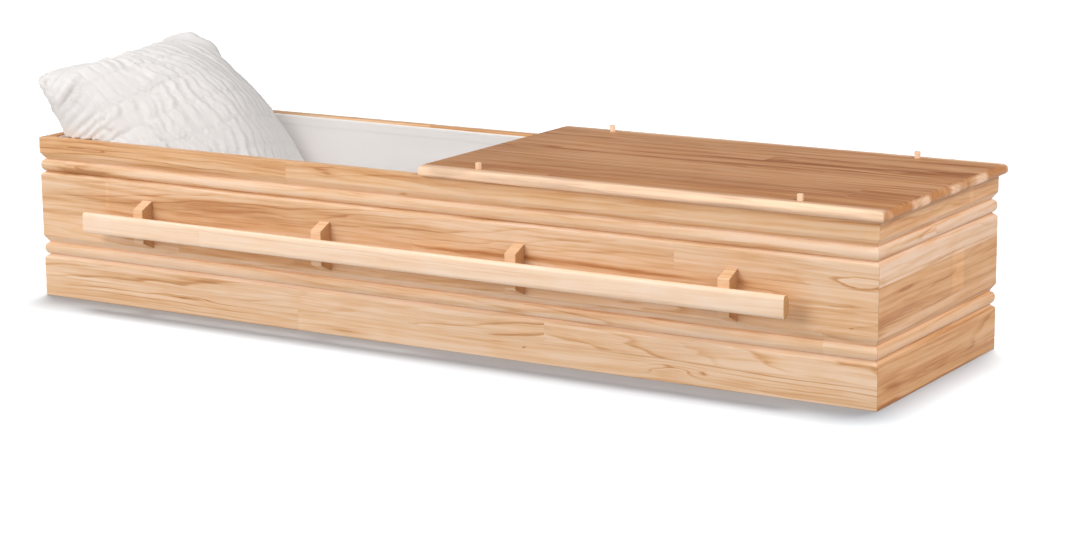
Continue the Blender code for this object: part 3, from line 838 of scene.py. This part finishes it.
lining_mesh.shade_smooth()
holder = shown_object("cloth_lining_holder", lining_mesh)
thick = holder.modifiers.new("cloth_thickness", "SOLIDIFY")
thick.thickness = LINING_THICKNESS
thick.offset = -1.0
lining = made_plain("cloth_lining", holder)
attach(lining, "root")
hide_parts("lining")

# The pillow: white cotton over a soft filling, a crowned form whose sides pull in between its rounded
# corners. Rows of elastic thread gather its face into short pleats, inside a plain border. It leans on the
# head wall, and its front side rolls under where the box holds it.
PILLOW_LENGTH = 0.668
PILLOW_WIDTH = 0.5
PILLOW_CROWN = 0.192
PILLOW_BELLY = 0.04
PILLOW_WAIST = 0.08
PILLOW_FULLNESS = (0.56, 0.4)
PILLOW_REACH = 0.008
PILLOW_CELLS = (120, 90)
FILLING_FRAMES = 20
PILLOW_CENTRE = Vector((-0.822, -0.013, 0.277))
pillow_turn = Euler((0.0, math.radians(48.3), math.radians(4.6)), "ZYX").to_matrix()


def eased(low, high, value):
    """0 before the low value and 1 past the high one, eased between them"""
    share = min(max((value - low) / (high - low), 0.0), 1.0)
    return share * share * (3 - 2 * share)


def pillow_point(along, across, over):
    """A point of the skin before it is filled, on the pillow's axes: down the slope, over to the back, out"""
    along, across = math.sin(math.pi / 2 * along), math.sin(math.pi / 2 * across)
    rounding = max(abs(along) ** 14 + abs(across) ** 14, 1.0) ** (-1 / 14)
    waist_along = 1 - PILLOW_WAIST * (1 - across ** 2)
    waist_across = 1 - PILLOW_WAIST * (1 - along ** 2)
    back_fullness = 0.05 * eased(-0.5, 0.2, along) * eased(0.2, 0.8, across)
    swell = max(1 - across ** 2, 0.0) ** (PILLOW_FULLNESS[1] - back_fullness)
    swell *= max(1 - along ** 2, 0.0) ** (PILLOW_FULLNESS[0] if along < 0 else PILLOW_FULLNESS[1])
    drawn_in = 0.005 * hill(along, -0.9, 0.28) * eased(-0.8, -0.3, across)
    drawn_in += 0.009 * hill(along, -0.85, 0.25) * hill(across, -0.12, 0.28)
    drawn_in += 0.01 * hill(along, -0.95, 0.2) * hill(across, 0.7, 0.2)
    rolled = 0.018 + 0.04 * eased(-1.0, -0.35, along) - 0.03 * eased(0.2, 1.0, along)
    depth = -PILLOW_BELLY * swell
    if over > 0:
        depth = PILLOW_CROWN * swell * (1 - 0.05 * eased(-0.1, 0.5, along))
        depth += 0.026 * hill(along, -0.68, 0.2) * hill(across, 0.78, 0.19)
        depth += 0.023 * hill(along, -0.88, 0.09) * hill(across, 0.72, 0.14)
    depth -= rolled * eased(0.1, -1.0, across)
    return Vector((along * waist_along * rounding * PILLOW_LENGTH / 2 + drawn_in,
                   across * waist_across * rounding * PILLOW_WIDTH / 2, depth))


skin = bmesh.new()
columns, rows = PILLOW_CELLS
grids = {}
for over in (1, -1):
    for i in range(columns + 1):
        for j in range(rows + 1):
            if over == -1 and (i in (0, columns) or j in (0, rows)):
                grids[over, i, j] = grids[1, i, j]
                continue
            spot = pillow_point(2 * i / columns - 1, 2 * j / rows - 1, over)
            grids[over, i, j] = skin.verts.new(PILLOW_CENTRE + pillow_turn @ spot)
    for i in range(columns):
        for j in range(rows):
            corners = [grids[over, i + step, j + up] for step, up in ((0, 0), (1, 0), (1, 1), (0, 1))]
            skin.faces.new(corners if over > 0 else reversed(corners))
skin.verts.index_update()
on_seam = {grids[1, i, j].index for i in range(columns + 1) for j in (0, rows)}
on_seam |= {grids[1, i, j].index for i in (0, columns) for j in range(rows + 1)}
skin_mesh = mesh_of("ruched_pillow", skin)
skin_mesh.shade_smooth()
pillow_start = [vertex.co.copy() for vertex in skin_mesh.vertices]
holder = shown_object("ruched_pillow_holder", skin_mesh)
holder.vertex_groups.new(name="seam").add(sorted(on_seam), 1.0, "REPLACE")

# Filling the skin: the cloth is a little too large for its seam, so it puckers there as it is pressed out
filling = holder.modifiers.new("filling", "CLOTH")
for setting, value in {
    "quality": 5, "mass": 0.25, "tension_stiffness": 14.0, "compression_stiffness": 14.0,
    "shear_stiffness": 5.0, "bending_stiffness": 0.25, "use_pressure": True, "shrink_min": -0.035,
    "uniform_pressure_force": 4.0, "vertex_group_mass": "seam", "pin_stiffness": 1.0,
}.items():
    setattr(filling.settings, setting, value)
filling.settings.effector_weights.gravity = 0.0
filling.collision_settings.use_collision = False
filling.point_cache.frame_start = 1
filling.point_cache.frame_end = FILLING_FRAMES
for step in range(1, FILLING_FRAMES + 1):
    bpy.context.scene.frame_set(step)
holder = made_plain("ruched_pillow_holder", holder)
bpy.context.scene.frame_set(1)
for vertex, start in zip(holder.data.vertices, pillow_start):
    moved = vertex.co - start
    if moved.length > PILLOW_REACH:
        vertex.co = start + moved * (PILLOW_REACH / moved.length)
finer = holder.modifiers.new("finer", "SUBSURF")
finer.levels = finer.render_levels = 1
pillow = made_plain("ruched_pillow", holder)

# The gathers go on the filled skin. Nothing of it may come through the lining, so it stays clear of that
THREAD_SPACING = 0.071
PLEAT_WIDTH = 0.023
PLEAT_SIZES = ((1.0, 0.0042), (0.53, 0.0031), (0.23, 0.0015))
CLEAR_X, CLEAR_Y, CLEAR_FLOOR, CLEAR_RIM = -0.9965, 0.2515, 0.0258, 0.364


def chance_of(*key):
    """A number from 0 to 1 that is always the same for the same key"""
    value = math.sin(sum(part * factor for part, factor in zip(key, (12.9898, 78.233, 37.719)))) * 43758.5453
    return value - math.floor(value)


def gathers(u, v):
    """How far the cloth stands off the filling at a place down and over the pillow, and how near a thread"""
    down, over = u / (PILLOW_LENGTH / 2), v / (PILLOW_WIDTH / 2)
    edge = eased(1.0, 0.93, abs(down)) * eased(1.0, 0.94, abs(over))
    border = 0.5 + 0.34 * eased(-0.9, 0.2, down)
    panel = eased(-0.88, -0.78, down) * eased(border + 0.04, border - 0.02, over)
    panel *= eased(-0.99, -0.86, over)
    wander = 0.02 * ripple(v * 6.0, 3.0, u * 3.0)
    wander += 0.006 * ripple(v * 23.0, 9.0, 0.0)
    row_at = (u - 0.2 * v + 0.268 + wander) / THREAD_SPACING
    band = math.floor(row_at)
    t = row_at - band
    from_thread = min(t, 1.0 - t) * THREAD_SPACING
    thread, near_thread = hill(from_thread, 0.0, 0.0035), hill(from_thread, 0.0, 0.009)
    lane = v + 0.024 * ripple(u * 12.0, v * 7.0, 4.0)
    lane += 0.008 * ripple(u * 34.0, v * 26.0, 7.0)
    pleats = 0.0
    for scale, amount in PLEAT_SIZES:
        pleat_at = lane / (PLEAT_WIDTH * scale) + 3.3 * scale
        number = math.floor(pleat_at)
        this, following = chance_of(number, band, scale), chance_of(number, band + 1, scale)
        strength = 0.45 + 0.9 * (this + (following - this) * eased(0.2, 0.8, t)) ** 1.2
        ridge = math.sin(math.pi * (pleat_at - number)) ** 0.7
        pleats += amount * strength * ridge * (1.0 - (0.3 if scale > 0.3 else -1.0) * near_thread)
    puckers = 0.0022 * near_thread * ripple(v * 105.0, band * 7.0, u * 45.0)
    calm = eased(1.5, 0.4, down + over) * (1.7 - 1.0 * eased(-0.7, 0.5, over))
    calm *= 0.9 + 0.6 * ripple(u * 7.0, v * 8.0, 12.0)
    bulge = hill(down, -0.66, 0.13) * hill(over, -0.62, 0.15)
    height = panel * (pleats * max(calm, 0.2) + puckers) * (1.0 - 0.85 * bulge)
    height += panel * (0.0006 * 4 * t * (1 - t) - 0.0004 * thread)
    height += 0.0075 * bulge - 0.0008 * (1 - panel) * edge
    side = eased(-0.72, -0.95, over) * eased(-1.0, -0.88, down)
    side *= 1.0 - 0.75 * hill(down, -0.66, 0.2) * eased(-0.95, -0.75, over)
    fold_at = u / 0.02 - 1.2 * over + 1.6 * ripple(u * 9.0, v * 9.0, 20.0)
    fold = abs(math.sin(math.pi * fold_at)) ** 0.7
    height += side * (0.008 * fold * (0.4 + 1.1 * chance_of(math.floor(fold_at))) - 0.0045)
    height += 0.0024 * (1 - panel) * edge * ripple(u * 12.0, v * 32.0, 30.0)
    return height * max(edge, 0.15 * side), thread * panel


back_turn = pillow_turn.transposed()
normals = [vertex.normal.copy() for vertex in pillow.data.vertices]
threads = pillow.data.attributes.new("threads", "FLOAT", "POINT")
for vertex, normal, thread in zip(pillow.data.vertices, normals, threads.data):
    own = back_turn @ (vertex.co - PILLOW_CENTRE)
    face_on = eased(-0.25, 0.3, (back_turn @ normal).z)
    height, thread.value = gathers(own.x, own.y)
    spot = vertex.co + normal * (height * face_on)
    outside = max(CLEAR_X - spot.x, abs(spot.y) - CLEAR_Y)
    if outside > 0 and spot.z < CLEAR_RIM:
        if CLEAR_RIM - spot.z < outside:
            spot.z = CLEAR_RIM
        else:
            spot.x = max(spot.x, CLEAR_X)
            spot.y = min(max(spot.y, -CLEAR_Y), CLEAR_Y)
    spot.z = max(spot.z, CLEAR_FLOOR)
    vertex.co = spot
pillow.data.shade_smooth()
pillow_cloth = cloth_finish("white_pillow_cloth", light=(0.79, 0.756, 0.736), shade=(0.745, 0.711, 0.69),
                            weave=1100.0, roughness=0.82, sheen=0.25, crease=0.45, gathered=True)
pillow.data.materials.clear()
pillow.data.materials.append(pillow_cloth)
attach(pillow, "root")
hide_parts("pillow")

# The studio: a pale floor just under the casket, soft lights from the front, the left and the right, a pale
# sky and one camera on the right of the foot end. The floor and the lining have lights of their own.
FLOOR_DROP = 0.0004
FLOOR_HALF = 60.0
LIGHT_AIM = (0.0, 0.0, 0.2)
CAMERA_PLACE = (3.055, -4.727, 1.3176)
CAMERA_HEADING, CAMERA_DIP, CAMERA_ROLL = 31.981, 12.32, -0.614
CAMERA_LENS, CAMERA_SENSOR = 89.73, 36.0
floor_finish, _, floor_shader = new_finish("white_floor")
set_shader(floor_shader, {"Base Color": (0.6, 0.6, 0.6, 1.0), "Roughness": 0.9, "Specular IOR Level": 0.0})
floor_shape = bmesh.new()
bmesh.ops.create_grid(floor_shape, x_segments=1, y_segments=1, size=FLOOR_HALF)
bmesh.ops.translate(floor_shape, vec=(0.0, 0.0, -FLOOR_DROP), verts=floor_shape.verts)
floor = shown_object("floor", mesh_of("floor", floor_shape, floor_finish))
floor.visible_diffuse = False


def lit_group(name, pieces, state="INCLUDE"):
    """The pieces that a light reaches alone, or the ones that it passes by"""
    group = bpy.data.collections.new(name)
    for number, piece in enumerate(pieces):
        group.objects.link(piece)
        group.collection_objects[number].light_linking.link_state = state
    return group


only_floor = lit_group("only_floor", [floor])
only_lining = lit_group("only_lining", [lining])
all_but_floor = lit_group("all_but_floor", [floor], "EXCLUDE")
all_but_floor_and_lining = lit_group("all_but_floor_and_lining", [floor, lining], "EXCLUDE")


def soft_light(name, towards, distance, power, size, reaches, kind="AREA"):
    """A soft light in this direction from the casket, its size in metres or degrees, and what it reaches"""
    data = bpy.data.lights.new(name, kind)
    data.energy = power
    if kind == "SUN":
        data.angle = math.radians(size)
    else:
        data.size = size
    lamp = shown_object(name, data)
    lamp.location = Vector(LIGHT_AIM) + Vector(towards).normalized() * distance
    lamp.rotation_euler = (-Vector(towards)).to_track_quat("-Z", "Y").to_euler()
    lamp.light_linking.receiver_collection = reaches
    return data


soft_light("key", (-0.34, -1.0, 0.48), 6.0, 165.0, 3.0, all_but_floor_and_lining)
soft_light("lining_key", (0.3, -1.0, 0.48), 6.0, 150.0, 3.0, only_lining)
soft_light("left", (-1.0, -0.3, 0.7), 6.0, 105.0, 3.4, all_but_floor)
soft_light("fill", (0.8, -0.2, 0.7), 6.0, 200.0, 3.4, all_but_floor)
soft_light("floor_light", (-0.08, 0.245, 1.0), 6.0, 5.1, 24.0, only_floor, "SUN")
floor_fill = soft_light("floor_fill", (0.9, -0.85, 1.2), 9.0, 310.0, 4.0, only_floor)
floor_fill.color = (0.6, 0.8, 1.0)

world = bpy.data.worlds.new("pale_sky")
world.use_nodes = True
sky_direction = put(world.node_tree, "ShaderNodeSeparateXYZ", put(world.node_tree, "ShaderNodeTexCoord"))
sky_height = sky_direction.node.outputs[2]
sky_strength = put(world.node_tree, "ShaderNodeMapRange", sky_height, -0.04, 0.04, 0.56, 0.36)
set_shader(world.node_tree.nodes["Background"], {"Strength": sky_strength, "Color": (1.0, 1.0, 1.0, 1.0)})
bpy.context.scene.world = world
bpy.context.scene.view_settings.view_transform = "Standard"
bpy.context.scene.view_settings.look = "None"

camera_data = bpy.data.cameras.new("camera")
camera_data.lens = CAMERA_LENS
camera_data.sensor_width = CAMERA_SENSOR
camera_data.clip_end = 200.0
camera = shown_object("camera", camera_data)
view = Matrix.Translation(CAMERA_PLACE)
for angle, axis in ((CAMERA_HEADING, "Z"), (90.0 - CAMERA_DIP, "X"), (CAMERA_ROLL, "Z")):
    view @= Matrix.Rotation(math.radians(angle), 4, axis)
camera.matrix_world = view
bpy.context.scene.camera = camera
